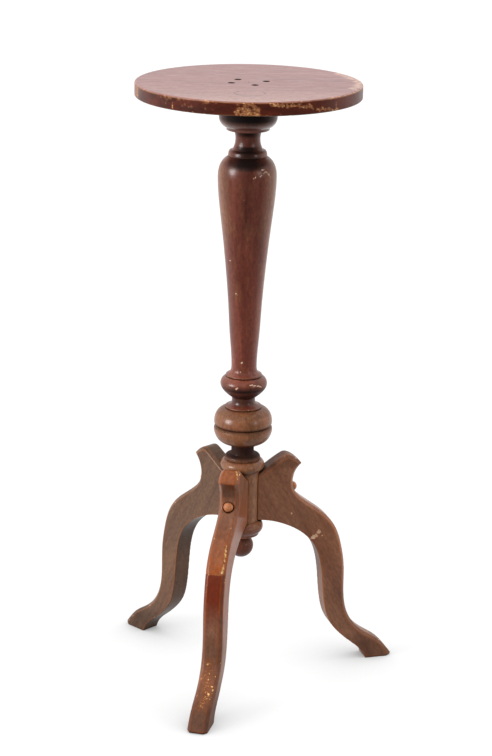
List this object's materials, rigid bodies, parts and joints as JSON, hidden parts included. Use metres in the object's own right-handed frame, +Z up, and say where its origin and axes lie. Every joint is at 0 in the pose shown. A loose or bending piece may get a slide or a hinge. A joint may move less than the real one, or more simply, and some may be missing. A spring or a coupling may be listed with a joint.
{
  "type": "candle stand",
  "caption": "Turned wooden candle stand: a round top board on a collar and tapering vase-shaped column, carried by scrolled splay legs around a post with a ball drop.",
  "frame": {"origin": "on the column's axis at floor level", "axes": "+Z up along the column, -Y towards the front leg, +X to the right seen from the front"},
  "size_m": [0.4282, 0.4027, 0.9],
  "materials": {
    "top_wood": "dark red-brown stained hardwood with a worn satin varnish",
    "column_wood": "dark red-brown stained hardwood, turned, with a glossy varnish",
    "leg_wood": "dark red-brown stained hardwood, sawn and chamfered, with a worn satin varnish",
    "button_wood": "dark red-brown stained turned buttons, varnished",
    "dowel_wood": "bare pale dowel rod",
    "screw_steel": "dull steel wood screws, darkened with age"
  },
  "bodies": {
    "root": {"top_board": "top_wood", "top_screws": "screw_steel", "top_collar": "column_wood", "column_shaft": "column_wood", "base_post": "column_wood", "drop_finial": "column_wood", "leg_front": "leg_wood", "leg_front_screw": "screw_steel", "leg_front_button": "button_wood", "leg_front_dowel_upper": "dowel_wood", "leg_front_dowel_lower": "dowel_wood", "leg_right": "leg_wood", "leg_right_screw": "screw_steel", "leg_right_button": "button_wood", "leg_right_dowel_upper": "dowel_wood", "leg_right_dowel_lower": "dowel_wood", "leg_left": "leg_wood", "leg_left_screw": "screw_steel", "leg_left_button": "button_wood", "leg_left_dowel_upper": "dowel_wood", "leg_left_dowel_lower": "dowel_wood"}
  },
  "joints": []
}
